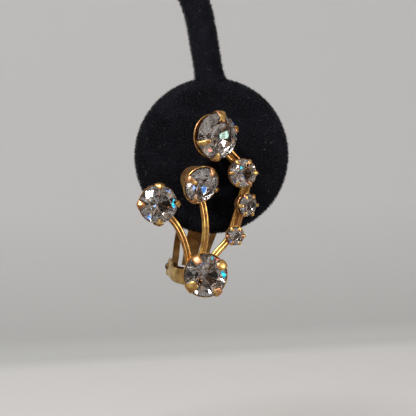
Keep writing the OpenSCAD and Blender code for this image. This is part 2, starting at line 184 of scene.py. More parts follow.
def flocked(piece, fibres_a_mm2, seed):
    """Sets fibres upright all over a piece, each with its own lean and length"""
    tree = bpy.data.node_groups.new("flock_on_" + piece.name, "GeometryNodeTree")
    tree.interface.new_socket("Geometry", in_out="INPUT", socket_type="NodeSocketGeometry")
    tree.interface.new_socket("Geometry", in_out="OUTPUT", socket_type="NodeSocketGeometry")
    given = tree.nodes.new("NodeGroupInput").outputs[0]
    points = put(tree, "GeometryNodeDistributePointsOnFaces",
                 {"Mesh": given, "Density": fibres_a_mm2 / MM**2, "Seed": seed})
    fibre = put(tree, "GeometryNodeMeshCone",
                {"Vertices": 3, "Radius Bottom": fibre_w, "Radius Top": 0, "Depth": fibre_l},
                fill_type="NONE")
    lean = put(tree, "FunctionNodeRandomValue",
               {"Min": (-fibre_lean, -fibre_lean, 0), "Max": (fibre_lean, fibre_lean, math.tau),
                "Seed": seed},
               data_type="FLOAT_VECTOR")
    leaning = put(tree, "FunctionNodeEulerToRotation", {0: lean.outputs[0]})
    turn = put(tree, "FunctionNodeRotateRotation",
               {"Rotation": points.outputs["Rotation"], "Rotate By": leaning.outputs[0]},
               rotation_space="LOCAL")
    size = put(tree, "FunctionNodeRandomValue", {2: fibre_shortest, 3: fibre_longest, "Seed": seed + 1},
               data_type="FLOAT")
    stood = put(tree, "GeometryNodeInstanceOnPoints",
                {"Points": points.outputs["Points"], "Instance": fibre.outputs["Mesh"],
                 "Rotation": turn.outputs[0], "Scale": size.outputs[1]})
    pile = put(tree, "GeometryNodeSetMaterial",
               {"Geometry": put(tree, "GeometryNodeRealizeInstances", {0: stood.outputs[0]}).outputs[0],
                "Material": piece.data.materials[0]})
    both = tree.nodes.new("GeometryNodeJoinGeometry")
    tree.links.new(given, both.inputs[0])
    tree.links.new(pile.outputs[0], both.inputs[0])
    put(tree, "NodeGroupOutput", {0: both.outputs[0]})
    piece.modifiers.new("flock", "NODES").node_group = tree
    grown = bpy.data.meshes.new_from_object(piece.evaluated_get(bpy.context.evaluated_depsgraph_get()))
    piece.modifiers.clear()
    piece.data = grown


black_flock = velvet_finish()
disc_r = pad_r - flock_sink
disc_half = pad_half - flock_sink
disc_flat = disc_r - pad_edge_r
disc = turned(
    [(0, -disc_half)]
    + [(disc_flat * k / face_rings, -disc_half) for k in range(1, face_rings)]
    + arc((disc_flat, pad_edge_r - disc_half), pad_edge_r, -90, 0, edge_steps)
    + arc((disc_flat, disc_half - pad_edge_r), pad_edge_r, 0, 90, edge_steps)
    + [(disc_flat * k / face_rings, disc_half) for k in range(face_rings - 1, -1, -1)],
    turn_steps)
disc.transform(Matrix.Translation(pad_centre) @ Matrix.Rotation(math.radians(90), 4, "X"))
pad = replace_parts(as_piece(disc, "velvet_pad", black_flock), "stand_pad")
flocked(pad, fibres_a_mm2=26, seed=1)

# Curved neck of the stand: a bent rod under the same flock. It rises from the foot, arches over and
# comes down to the pad, where it widens, flattens and goes in between the pad's two faces.
neck_low, neck_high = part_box("stand_neck")
neck_r = (neck_high.y - neck_low.y) / 2
arch_r = 25 * MM
arch_x = neck_low.x + neck_r + arch_r
arch_z = neck_high.z - neck_r - arch_r
neck_lean = math.radians(9.5)
neck_run = 11 * MM
into_pad = 3 * MM
flare_l = 6 * MM
flare = 1.45
flat_l = 5 * MM
flat_share = (pad_half - 2 * flock_sink) / (neck_r - flock_sink)
bar_sides = 24
gable_back = 0.4
gable_slope = 2.4
upright_steps = 12
arch_steps = 40
straight_steps = 16


def station(at, along, side, half_side, half_front):
    """Place of a bar's section: its middle, the way the bar runs, its side, and its half sizes"""
    front = along.cross(side).normalized()
    turn = Matrix((side, front, along)).transposed().to_4x4()
    return Matrix.Translation(at) @ turn @ Matrix.Diagonal((half_side, half_front, 1, 1))


def drawn_bar(bm, stations, sides, gable=False):
    """Draws a bar through its stations, closed at both ends. A gabled one has a ridge on its front."""
    ring = bmesh.ops.create_circle(bm, cap_ends=True, radius=1, segments=sides)["verts"]
    if gable:
        for vert in ring:
            vert.co.y = gable_back if vert.co.y > 0.1 else gable_slope * (abs(vert.co.x) - 1)
    bmesh.ops.transform(bm, matrix=stations[0], verts=ring)
    edges = ring[0].link_faces[0].edges[:]
    for last, this in zip(stations, stations[1:]):
        made = bmesh.ops.extrude_edge_only(bm, edges=edges)["geom"]
        verts = [part for part in made if isinstance(part, bmesh.types.BMVert)]
        fresh = set(verts)
        edges = [part for part in made
                 if isinstance(part, bmesh.types.BMEdge) and fresh.issuperset(part.verts)]
        bmesh.ops.transform(bm, matrix=this @ last.inverted(), verts=verts)
    bmesh.ops.contextual_create(bm, geom=edges)


def heading(points, k):
    """Direction of a line of points at one of them"""
    return (points[min(k + 1, len(points) - 1)] - points[max(k - 1, 0)]).normalized()


def run_along(points, offset, half_side, half_front):
    """Stations along points, offset to the side in the plane that the spray lies in"""
    made = []
    for k, point in enumerate(points):
        along = heading(points, k)
        side = Vector((0, 1, 0)).cross(along).normalized()
        made.append(station(point + side * offset, along, side, half_side, half_front))
    return made


foot_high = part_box("stand_foot")[1]
upright = [
    Vector((arch_x - arch_r, 0, foot_high.z + (arch_z - foot_high.z) * k / upright_steps))
    for k in range(upright_steps)
]
arch = [
    Vector((arch_x, 0, arch_z)) + arch_r * Vector((-math.cos(a), 0, math.sin(a)))
    for a in [(math.pi - neck_lean) * k / arch_steps for k in range(arch_steps + 1)]
]
down = Vector((math.sin(neck_lean), 0, -math.cos(neck_lean)))
straight = [
    arch[-1] + down * (neck_run + into_pad) * k / straight_steps
    for k in range(1, straight_steps + 1)
]
neck_line = upright + arch + straight
neck_stations = []
for k, place in enumerate(run_along(neck_line, 0, 1, 1)):
    to_end = (neck_line[-1] - neck_line[k]).length if k > len(upright) + len(arch) else neck_high.z
    widening = max(0, 1 - to_end / flare_l)
    flattening = min(1, max(0, 1 - (to_end - into_pad) / flat_l))
    flattening *= flattening * (3 - 2 * flattening)
    half_side = (neck_r - flock_sink) * (1 + (flare - 1) * widening**2)
    half_front = (neck_r - flock_sink) * (1 + (flat_share - 1) * flattening)
    neck_stations.append(place @ Matrix.Diagonal((half_side, half_front, 1, 1)))
bar = bmesh.new()
drawn_bar(bar, neck_stations, bar_sides)
bmesh.ops.recalc_face_normals(bar, faces=bar.faces)
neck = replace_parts(as_piece(bar, "velvet_neck", black_flock), "stand_neck")
flocked(neck, fibres_a_mm2=14, seed=2)

# Foot of the stand: a weighted round plate with a rounded upper edge, under the same flock. The neck
# stands in a socket on one side of its middle, and the pad hangs on the other side.
foot_r = foot_high.x
foot_edge_r = 2 * MM
plate_r = foot_r - flock_sink
plate_t = foot_high.z - flock_sink
foot_disc = turned(
    [(0, 0), (plate_r, 0)]
    + arc((plate_r - foot_edge_r, plate_t - foot_edge_r), foot_edge_r, 0, 90, edge_steps)
    + [((plate_r - foot_edge_r) * k / face_rings, plate_t) for k in range(face_rings - 1, -1, -1)],
    turn_steps)
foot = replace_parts(as_piece(foot_disc, "velvet_foot", black_flock), "stand_foot")
flocked(foot, fibres_a_mm2=10, seed=3)

# Cut stones: round brilliants of clear glass, whose flat facets meet in slightly worn edges. Each has
# a foil on its pavilion, which throws the light back out through the table.
Seat = namedtuple("Seat", "at out radius place")
STONES = ["base", "left", "middle", "top", "upper", "side", "lower"]
# Stones whose glass also carries the painted dark rays of shade
SHADE_RAYED = ["base", "left", "side", "lower"]
foil_gap = 0.015 * MM
foil_t = 0.02 * MM
worn_edge = 0.05 * MM
near_girdle = 0.999
turned_back = -0.1


def seat_of(node):
    """Where a stone sits: its girdle's centre, its own axes and its radius, read from its solid"""
    mesh = frame["nodes"][node].data
    areas = {}
    for face in mesh.polygons:
        way = tuple(round(c, 3) for c in face.normal)
        areas[way] = areas.get(way, 0) + face.area
    out = Vector(max(areas, key=areas.get)).normalized()
    culet = min((v.co for v in mesh.vertices), key=out.dot)
    rises = [((v.co - culet).dot(out), v.co) for v in mesh.vertices]
    spans = [((co - culet - out * rise).length, rise) for rise, co in rises]
    radius = max(spans)[0]
    girdle = [rise for span, rise in spans if span > radius * near_girdle]
    at = culet + out * sum(girdle) / len(girdle)
    right = Vector((0, 0, 1)).cross(out).normalized()
    up = out.cross(right)
    place = Matrix.Translation(at) @ Matrix((right, up, out)).transposed().to_4x4()
    return Seat(at, out, radius, place)


def painted_facet_shade_group():
    """Painted shade shared by the stones' glass. Cells of the glass are darkened and warmed at random,
    standing in for facets that catch less light, and painted rays of shade meet over the stone's point."""
    group = bpy.data.node_groups.new("painted_facet_shade", "ShaderNodeTree")
    group.interface.new_socket("Ray Depth", in_out="INPUT", socket_type="NodeSocketFloat")
    group.interface.new_socket("Color", in_out="OUTPUT", socket_type="NodeSocketColor")
    given = group.nodes.new("NodeGroupInput").outputs
    at = group.nodes.new("ShaderNodeTexCoord").outputs["Object"]
    facets = put(group, "ShaderNodeTexVoronoi", {"Vector": at, "Scale": 850}).outputs["Color"]
    facet_shade_tint = ramp(group, facets, [(0.32, (0.66, 0.57, 0.53)), (0.44, (0.93, 0.9, 0.88)), (0.55, (1, 1, 1))])
    spot = put(group, "ShaderNodeAttribute", {}, attribute_name="stone_spot").outputs["Vector"]
    turn = put(group, "ShaderNodeTexGradient", {"Vector": spot}, gradient_type="RADIAL").outputs["Fac"]
    shade_beams = put(group, "ShaderNodeTexNoise", {"W": turn, "Scale": 34, "Detail": 2}, noise_dimensions="1D")
    painted_star_shade = ramp(group, shade_beams.outputs["Fac"], [
        (0.4, (0.2, 0.18, 0.165)), (0.45, (0.85, 0.82, 0.8)), (0.5, (1, 1, 1))])
    shade_rays = mixed(group, given["Ray Depth"], (1, 1, 1, 1), painted_star_shade)
    put(group, "NodeGroupOutput", {"Color": mixed(group, 1, facet_shade_tint, shade_rays, blend_type="MULTIPLY")})
    return group


def glass_finish(name, shade_ray_depth):
    """Clear glass with painted shade: cells darkened at random for facets that catch less light, under
    painted rays of shade of this depth
    """
    material, tree, shader = finish_of(name, Roughness=0, IOR=1.58, Transmission_Weight=1)
    cut = put(tree, "ShaderNodeGroup", {}, node_tree=painted_facet_shade)
    cut.inputs["Ray Depth"].default_value = shade_ray_depth
    tree.links.new(cut.outputs["Color"], shader.inputs["Base Color"])
    return material


def foil_finish():
    """Silvery foil, browned in small spots where its lacquer has aged"""
    material, tree, shader = finish_of("foil", Metallic=1, Roughness=0.02)
    at = tree.nodes.new("ShaderNodeTexCoord").outputs["Object"]
    aged = ramp(tree, spread(tree, 260, 2, at), [(0.5, (0.65, 0.61, 0.59)), (0.72, (0.55, 0.43, 0.32))])
    tree.links.new(aged, shader.inputs["Base Color"])
    return material


def chipped_finish():
    """Glass of the worn edges between facets, finely chipped and so frosted"""
    material, tree, shader = finish_of("chipped_glass", IOR=1.58, Transmission_Weight=1)
    at = tree.nodes.new("ShaderNodeTexCoord").outputs["Object"]
    wear = ramp(tree, spread(tree, 1200, 2, at), [(0.4, 0.15), (0.6, 0.45)])
    tree.links.new(wear, shader.inputs["Roughness"])
    return material


# The glass colour carries painted shade: random darker cells for facets that catch less light, and painted
# dark rays over the point
painted_facet_shade = painted_facet_shade_group()
cut_glass_painted_shade = glass_finish("cut_glass_painted_shade", 0.25)
shade_rayed_glass = glass_finish("shade_rayed_glass", 1)
chipped_glass = chipped_finish()
foil_silver = foil_finish()
seats = {name: seat_of("stone_" + name) for name in STONES}
for name in STONES:
    seat = seats[name]
    cut = bmesh.new()
    cut.from_mesh(frame["nodes"]["stone_" + name].data)
    bmesh.ops.remove_doubles(cut, verts=cut.verts, dist=same_point)
    back = cut.copy()
    crown = [face for face in back.faces if face.normal.dot(seat.out) > turned_back]
    bmesh.ops.delete(back, geom=crown, context="FACES")
    grow = 1 + foil_gap / seat.radius
    bmesh.ops.scale(back, verts=back.verts, vec=(grow, grow, grow), space=Matrix.Translation(-seat.at))
    bmesh.ops.solidify(back, geom=back.faces[:], thickness=-foil_t)
    as_piece(back, "foil_" + name, foil_silver, sharp=1)
    bmesh.ops.dissolve_limit(cut, angle_limit=math.radians(0.5), verts=cut.verts, edges=cut.edges)
    bmesh.ops.bevel(
        cut, geom=cut.edges[:], affect="EDGES", offset=worn_edge, segments=1, profile=0.5, material=1)
    spot = cut.verts.layers.float_vector.new("stone_spot")
    for vert in cut.verts:
        vert[spot] = seat.place.inverted() @ vert.co / seat.radius
    glass = shade_rayed_glass if name in SHADE_RAYED else cut_glass_painted_shade
    stone = as_piece(cut, "cut_stone_" + name, glass, sharp=0.2)
    stone.data.materials.append(chipped_glass)
    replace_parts(stone, "stone_" + name)

# Settings: cups of antique gold plated brass, turned in and cut into prongs that are pressed over the
# stone's edge. The large ones have four prongs and the small ones six.
Prong = namedtuple("Prong", "angle reach width tip thick proud form")
Setting = namedtuple("Setting", "depth rim back lip flare prongs")


def claws(count, width, tip, reach, thick):
    """Equal round claws, evenly set"""
    return [Prong(360 * k / count, reach, width, tip, thick, 0.05, "round") for k in range(count)]


SETTINGS = {
    "base": Setting(0.62, 0.05, 0.6, 0.12, 0, [
        Prong(119, 1.35, 2.1, 1.5, 0.2, 0.05, "flat"),
        Prong(32, 0.85, 1.9, 1.8, 0.3, 0.05, "round"),
        Prong(217, 1.1, 2.2, 2, 0.28, 0.05, "round"),
        Prong(305, 0.75, 1.9, 1.7, 0.32, 0.05, "flat"),
    ]),
    "left": Setting(0.62, 0.12, 0.58, 0.1, 0, [
        Prong(180, 0.75, 2.2, 0.7, 0.18, 0.25, "gable"),
        Prong(0, 0.4, 1.6, 0.6, 0.18, 0.1, "gable"),
        Prong(87, 0.75, 2.3, 0.6, 0.15, -0.05, "gable"),
        Prong(270, 0.7, 2.1, 0.7, 0.18, 0, "gable"),
    ]),
    "middle": Setting(0.64, 0.03, 0.6, 0.12, 0, [
        Prong(62, 0.9, 1.5, 0.9, 0.22, 0.05, "round"),
        Prong(156, 1.1, 1.6, 0.9, 0.22, 0.05, "round"),
        Prong(245, 0.6, 1.8, 1.1, 0.22, 0, "round"),
        Prong(344, 0.4, 1.1, 0.8, 0.22, 0.05, "round"),
    ]),
    "top": Setting(0.55, 0.19, 0.42, 0.15, 0.4, [
        Prong(84, 1.6, 2.6, 0.7, 0.22, 0.1, "round"),
        Prong(197, 1.7, 1, 0.8, 0.16, -0.05, "flat"),
        Prong(262, 0.8, 2.2, 1.2, 0.2, -0.05, "round"),
        Prong(16, 0.4, 1.5, 1, 0.2, 0.05, "round"),
    ]),
    "upper": Setting(0.64, 0.12, 0.6, 0.1, 0, claws(6, 0.75, 0.65, 0.55, 0.17)),
    "side": Setting(0.66, 0.12, 0.6, 0.1, 0, claws(6, 0.75, 0.65, 0.4, 0.17)),
    "lower": Setting(0.68, 0.12, 0.6, 0.1, 0, claws(6, 0.65, 0.6, 0.3, 0.17)),
}
stone_gap = 0.05 * MM
cup_wall = 0.35 * MM
girdle_share = 0.03
crown_share = 0.16
table_share = 0.29
cup_steps = 48
prong_start = 0.45
tip_pull = 0.7
tip_drop = 0.3
bend_steps = 10
prong_sides = 12


def worn_metal_group():
    """Shared wear of the metals. It is bright where rubbed, worn through in places and brown in the
    hollows, with a grain that can be drawn out along the height for scratches."""
    group = bpy.data.node_groups.new("worn_metal", "ShaderNodeTree")
    for name, kind in (("Bright", "Color"), ("Worn Through", "Color"), ("Dark", "Color"),
                       ("Patch Scale", "Float"), ("Grain Scale", "Float"),
                       ("Grain Stretch", "Vector"), ("Roughness", "Float"), ("Roughness Change", "Float")):
        group.interface.new_socket(name, in_out="INPUT", socket_type="NodeSocket" + kind)
    for name, kind in (("Color", "Color"), ("Roughness", "Float"), ("Height", "Float")):
        group.interface.new_socket(name, in_out="OUTPUT", socket_type="NodeSocket" + kind)
    given = group.nodes.new("NodeGroupInput").outputs
    at = group.nodes.new("ShaderNodeTexCoord").outputs["Object"]
    drawn = put(group, "ShaderNodeVectorMath", {0: at, 1: given["Grain Stretch"]}, operation="MULTIPLY")
    hollow = put(group, "ShaderNodeAmbientOcclusion", {"Distance": hollow_reach}, samples=8, only_local=True)
    open_side = ramp(group, hollow.outputs["AO"], [(0.3, 0), (0.85, 1)])
    patch = ramp(group, spread(group, given["Patch Scale"], 3, at), [(0.38, 0.25), (0.56, 1)])
    grain = spread(group, given["Grain Scale"], 3, drawn.outputs[0])
    rubbed = ramp(group, grain, [(0.36, 0.5), (0.54, 1)])
    bare = put(group, "ShaderNodeMath", {0: open_side, 1: patch}, operation="MULTIPLY").outputs[0]
    barer = put(group, "ShaderNodeMath", {0: bare, 1: rubbed}, operation="MULTIPLY").outputs[0]
    thin = ramp(group, spread(group, worn_through_scale, 1, at), [(0.5, 0), (0.56, 1)])
    plate = mixed(group, thin, given["Bright"], given["Worn Through"])
    colour = mixed(group, barer, given["Dark"], plate)
    most = put(group, "ShaderNodeMath", {0: given["Roughness"], 1: given["Roughness Change"]},
               operation="ADD")
    rough = put(group, "ShaderNodeMapRange",
                {"Value": grain, "To Min": given["Roughness"], "To Max": most.outputs[0]}).outputs[0]
    put(group, "NodeGroupOutput", {"Color": colour, "Roughness": rough, "Height": grain})
    return group


def metal_finish(name, bright, worn, dark, patch, grain, stretch, roughness, change, relief, metallic):
    """A metal of its own colours and grain on the shared wear"""
    material, tree, shader = finish_of(name, Metallic=metallic)
    wear = put(tree, "ShaderNodeGroup", {}, node_tree=worn_metal)
    for socket, value in (("Bright", (*bright, 1)), ("Worn Through", (*worn, 1)), ("Dark", (*dark, 1)),
                          ("Patch Scale", patch), ("Grain Scale", grain), ("Grain Stretch", stretch),
                          ("Roughness", roughness), ("Roughness Change", change)):
        wear.inputs[socket].default_value = value
    bump = put(tree, "ShaderNodeBump", {"Height": wear.outputs["Height"], "Distance": relief * MM})
    tree.links.new(wear.outputs["Color"], shader.inputs["Base Color"])
    tree.links.new(wear.outputs["Roughness"], shader.inputs["Roughness"])
    tree.links.new(bump.outputs["Normal"], shader.inputs["Normal"])
    return material


hollow_reach = 0.5 * MM
worn_through_scale = 420
worn_metal = worn_metal_group()
antique_gold = metal_finish(
    "antique_gold", bright=(0.84, 0.54, 0.175), worn=(0.66, 0.33, 0.16), dark=(0.34, 0.15, 0.05),
    patch=900, grain=1300, stretch=(1, 1, 1), roughness=0.3, change=0.16, relief=0.1, metallic=0.9)


def crown_height(r, d):
    """Height of the crown over the girdle's middle at a radius"""
    return d * (girdle_share / 2 + crown_share * (d / 2 - r) / (d / 2 - d * table_share))


def prong(bm, row, d, made):
    """One prong: it climbs the cup's wall, bends over the girdle and lies on the crown"""
    r = d / 2
    thick = made.thick * MM
    wall = r + stone_gap + thick
    low = -d * row.depth * (1 - prong_start)
    low_r = (r + cup_wall) * (row.back + (1 - row.back) * prong_start)
    reach = r - made.reach * MM
    lift = stone_gap + thick
    over = crown_height(reach, d) + lift
    crest = crown_height(r, d) + lift
    stand = wall + made.proud * MM
    climb = [(low_r, low), ((low_r + stand) / 2, low / 2)]
    bend = interpolate_bezier(
        (wall, 0, 0), (stand + made.proud * MM, crest, 0),
        (reach + (wall - reach) * tip_pull, over + (crest - over) * tip_drop, 0), (reach, over, 0),
        bend_steps)
    turn = Matrix.Rotation(math.radians(made.angle), 3, "Z")
    points = [turn @ Vector((x, 0, z)) for x, z in climb + [(p[0], p[1]) for p in bend]]
    side = turn @ Vector((0, 1, 0))
    stations = []
    for k, point in enumerate(points):
        along = heading(points, k)
        share = (k / (len(points) - 1)) ** 2
        half = (made.width + (made.tip - made.width) * share) * MM / 2
        stations.append(station(point, along, side, half, thick))
    tip = stations[-1]
    for step, size in TIPS[made.form]:
        shift = Matrix.Translation(along * step * made.tip * MM / 2)
        stations.append(shift @ tip @ Matrix.Diagonal((size, size, 1, 1)))
    drawn_bar(bm, stations, prong_sides, gable=made.form == "gable")


TIPS = {
    "round": [(0.3, 0.93), (0.55, 0.75), (0.7, 0.45)],
    "flat": [(0.12, 0.97), (0.2, 0.85), (0.24, 0.6)],
    "gable": [(0.4, 0.7), (0.7, 0.35), (0.8, 0.1)],
}

for name in STONES:
    row = SETTINGS[name]
    seat = seats[name]
    d = 2 * seat.radius
    mouth = seat.radius + stone_gap + cup_wall
    back_r = mouth * row.back
    low = -d * row.depth
    rim = -d * row.rim
    rim_r = back_r + (mouth - back_r) * (rim - low) / -low + row.flare * MM
    lip = row.lip * MM
    cup = turned(
        [(0, low), (back_r - cup_wall / 2, low), (back_r, low + cup_wall / 2)]
        + [(rim_r - lip / 2, rim - 2 * lip)]
        + arc((rim_r - lip / 2, rim - lip), lip, -60, 180, edge_steps)
        + [(back_r - cup_wall, low + cup_wall), (0, low + cup_wall)],
        cup_steps)
    for made in row.prongs:
        prong(cup, row, d, made)
    bmesh.ops.recalc_face_normals(cup, faces=cup.faces)
    cup.transform(seat.place)
    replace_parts(as_piece(cup, "setting_" + name, antique_gold), "spray_frame")

# Stems: drawn gold plated wires with a groove along them, each soldered to the base cup below and
# to the back of its own cup above.
Stem = namedtuple("Stem", "carries low_angle low_lean far_lean far_angle")
STEMS = [
    Stem("left", 152, -12, -50, -45),
    Stem("middle", 106, 22, -16, -62),
    Stem("lower", 62, 26, 34, 215),
]
drawn_gold = metal_finish(
    "drawn_gold", bright=(0.76, 0.48, 0.135), worn=(0.62, 0.33, 0.1), dark=(0.26, 0.105, 0.035),
    patch=350, grain=1500, stretch=(1, 1, 1), roughness=0.28, change=0.12, relief=0.002, metallic=0.95)
stem_up = 0.5
stem_out = 0.85
stem_handle = 0.36
stem_strand_r = 0.42 * MM
stem_pitch = 0.68 * MM
stem_steps = 28
wire_sides = 14


def in_cup(name, angle, up, out):
    """A point in a cup: its angle, how far up from the back to the mouth, and how far out to the wall"""
    seat = seats[name]
    row = SETTINGS[name]
    mouth = seat.radius + stone_gap + cup_wall
    r = out * mouth * (row.back + (1 - row.back) * up)
    down = 2 * seat.radius * row.depth * (1 - up)
    turn = math.radians(angle)
    return seat.place @ Vector((r * math.cos(turn), r * math.sin(turn), -down))


def leaning(angle):
    """A direction in the plane of the spray that leans to the right of straight up"""
    return Vector((math.sin(math.radians(angle)), 0, math.cos(math.radians(angle))))


for stem in STEMS:
    start = in_cup("base", stem.low_angle, stem_up, stem_out)
    end = in_cup(stem.carries, stem.far_angle, stem_up, stem_out)
    handle = (end - start).length * stem_handle
    line = interpolate_bezier(
        start, start + handle * leaning(stem.low_lean),
        end - handle * leaning(stem.far_lean), end, stem_steps)
    wire = bmesh.new()
    for side in (-1, 1):
        drawn_bar(wire, run_along(line, side * stem_pitch / 2, stem_strand_r, stem_strand_r), wire_sides)
    bmesh.ops.recalc_face_normals(wire, faces=wire.faces)
    as_piece(wire, "stem_to_" + stem.carries, drawn_gold)

# Side rail: two parallel wires with a strip between them, which runs behind the three small settings
# and is soldered to the top one.
rail_stops = [
    in_cup("lower", 0, 0, 0),
    in_cup("side", 0, 0, 0.3),
    in_cup("upper", 0, 0, 0.6),
    in_cup("top", -30, 0.35, 0.9),
]
rail_r = 0.5 * MM
rail_pitch = 1.3 * MM
rail_steps = 12
stops = [2 * rail_stops[0] - rail_stops[1]] + rail_stops + [2 * rail_stops[-1] - rail_stops[-2]]
rail_line = [rail_stops[0]]
for before, here, there, after in zip(stops, stops[1:], stops[2:], stops[3:]):
    rail_line += interpolate_bezier(
        here, here + (there - before) / 6, there - (after - here) / 6, there, rail_steps)[1:]
rail = bmesh.new()
for side in (-1, 1):
    drawn_bar(rail, run_along(rail_line, side * rail_pitch / 2, rail_r, rail_r), wire_sides)
drawn_bar(rail, run_along(rail_line, 0, rail_pitch / 2, rail_r / 3), wire_sides)
bmesh.ops.recalc_face_normals(rail, faces=rail.faces)
as_piece(rail, "side_rail", drawn_gold)

# Hinge bracket: a strip of brass sheet with round ends, bent into a U. Its middle is soldered to the
# back of the base cup, and the pin goes through the two ears.
joint = frame["joints"][0]
pin_at = Vector(joint["pos_m"])
pin_right = -Vector(joint["axis"]).normalized()
pin_up = pin_right.cross(Vector((0, 1, 0))).normalized()
pin_place = Matrix.Translation(pin_at) @ Matrix((pin_right, Vector((0, 1, 0)), pin_up)).transposed().to_4x4()
lever_w = 7.4 * MM
ear_clear = 0.1 * MM
sheet_t = 0.5 * MM
ear_r = 1.8 * MM
plate_h = 3.1 * MM
plate_low = -2.5 * MM
plate_y = -2.8 * MM - pin_at.y
ear_x = lever_w / 2 + ear_clear + sheet_t
bend_r = 1.1 * MM
corner_low = -1.7 * MM
corner_run = 2.6 * MM
ear_blunt = 0.2
ear_steps = 16
ear_spacing = 0.8
change_start = 0.2
change_rate = 1.6
corner_steps = 8
plate_steps = 8
height_steps = 4
rim_r = 0.12 * MM
stamped_edge = math.radians(50)


def ear_ends(back):
    """Lower and upper end of an ear, at a distance behind the plate's front"""
    behind = back + plate_y
    if behind > 0:
        half = math.sqrt(max(ear_r**2 - behind**2, (ear_blunt * ear_r) ** 2))
        return -half, half
    share = min(1, max(0, -behind / -plate_y * change_rate - change_start))
    ease = share * share * (3 - 2 * share)
    return -ear_r + (corner_low + ear_r) * ease, ear_r + (plate_h + plate_low - ear_r) * ease


def bracket_outline():
    """Points along the strip's outer line, from the left ear round to the middle of the plate"""
    backs = [(ear_r - plate_y) * (1 - (k / ear_steps) ** ear_spacing) for k in range(ear_steps - 1)]
    ear = [(-ear_x, back) for back in backs if back > bend_r]
    turns = [math.pi / 2 * k / corner_steps for k in range(corner_steps + 1)]
    corner = [(-ear_x + bend_r - bend_r * math.cos(a), bend_r - bend_r * math.sin(a)) for a in turns]
    plate = [(-ear_x + bend_r + (ear_x - bend_r) * k / plate_steps, 0) for k in range(1, plate_steps + 1)]
    return ear + corner + plate


bracket = bmesh.new()
last = None
for x, back in bracket_outline():
    low, high = ear_ends(back)
    inward = min(1, (x + ear_x) / corner_run)
    low += (plate_low - corner_low) * math.sqrt(1 - (1 - inward) ** 2)
    column = [
        bracket.verts.new((x, plate_y + back, low + (high - low) * k / height_steps))
        for k in range(height_steps + 1)
    ]
    if last:
        for a, b, c, e in zip(last, last[1:], column, column[1:]):
            bracket.faces.new((a, c, e, b))
    last = column
bmesh.ops.mirror(
    bracket, geom=bracket.verts[:] + bracket.edges[:] + bracket.faces[:], axis="X", merge_dist=MM / 1e3)
bmesh.ops.recalc_face_normals(bracket, faces=bracket.faces)
if sum(face.normal.y * face.calc_area() for face in bracket.faces) > 0:
    bmesh.ops.reverse_faces(bracket, faces=bracket.faces)
bmesh.ops.solidify(bracket, geom=bracket.faces[:], thickness=sheet_t)
bmesh.ops.recalc_face_normals(bracket, faces=bracket.faces)
rims = [edge for edge in bracket.edges if edge.calc_face_angle(0) > stamped_edge]
bmesh.ops.bevel(bracket, geom=rims, offset=rim_r, offset_type="OFFSET", segments=3, profile=0.5,
                affect="EDGES", material=-1, clamp_overlap=True)
bracket.transform(pin_place)
matte_brass = metal_finish(
    "matte_brass", bright=(0.7, 0.5, 0.21), worn=(0.58, 0.4, 0.17), dark=(0.28, 0.18, 0.07),
    patch=500, grain=3500, stretch=(1, 1, 0.08), roughness=0.36, change=0.2, relief=0.08, metallic=0.85)
as_piece(bracket, "hinge_bracket", matte_brass)

# Hinge pin: a brass rod through the ears and the lever's eyes. Its ends are peened to low domes, which
# keep it in place, and it has gone dark.
pin_half = ear_x + 0.6 * MM
pin_r = 0.5 * MM
head_r = 0.75 * MM
head_l = 0.55 * MM
pin_steps = 32
half_pin = [(pin_r, 0), (pin_r, pin_half - head_l), (head_r, pin_half - head_l)] + arc(
    (0, pin_half - head_r), head_r, 20, 90, 5)
pin = turned([(r, -z) for r, z in reversed(half_pin)] + half_pin[1:], pin_steps)
pin.transform(pin_place @ Matrix.Rotation(math.radians(90), 4, "Y"))
dark_pin = metal_finish(
    "dark_pin", bright=(0.14, 0.085, 0.035), worn=(0.1, 0.06, 0.025), dark=(0.05, 0.025, 0.01),
    patch=500, grain=3000, stretch=(1, 1, 1), roughness=0.34, change=0.2, relief=0.01, metallic=0.9)
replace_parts(as_piece(pin, "pin_with_heads", dark_pin), "hinge_pin")

# Clip lever: a springy sheet with two legs that turn on the pin, a tongue between them and a round
# pad at its upper end. Its stamped edges are a little rounded.
rounded_edge = 0.1 * MM
dull_brass = metal_finish(
    "dull_brass", bright=(0.3, 0.18, 0.065), worn=(0.26, 0.15, 0.055), dark=(0.12, 0.06, 0.02),
    patch=400, grain=3000, stretch=(1, 1, 0.1), roughness=0.34, change=0.2, relief=0.01, metallic=0.9)
lever = bmesh.new()
lever.from_mesh(frame["nodes"]["clip_lever"].data)
bmesh.ops.remove_doubles(lever, verts=lever.verts, dist=same_point)
bmesh.ops.dissolve_limit(lever, angle_limit=math.radians(1), verts=lever.verts, edges=lever.edges)
bmesh.ops.triangulate(lever, faces=[face for face in lever.faces if len(face.verts) > 4])
clip = as_piece(lever, "lever_with_tongue", dull_brass, "clip", sharp=30)
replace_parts(clip, "clip_lever")
rounding = clip.modifiers.new("rounded edges", "BEVEL")
rounding.width = rounded_edge
rounding.segments = 2
rounding.limit_method = "ANGLE"
rounding.angle_limit = stamped_edge

# Table and wall: plain pale boards that meet behind the stand in a soft curve. Their colour carries painted
# light and
# shade: a painted pool of light on the table behind the stand, painted shade deepening toward the front of
# the table, and painted shade at the foot of the wall that lightens toward its top.
wall_y = 0.157
cove_r = 0.009
wall_turn = math.radians(7)
table_half = 3
table_front = 0.6
wall_h = 2
cove_steps = 8
far_front = -0.3
near_front = -0.09
light_from = 0.06
shade_h = 0.05


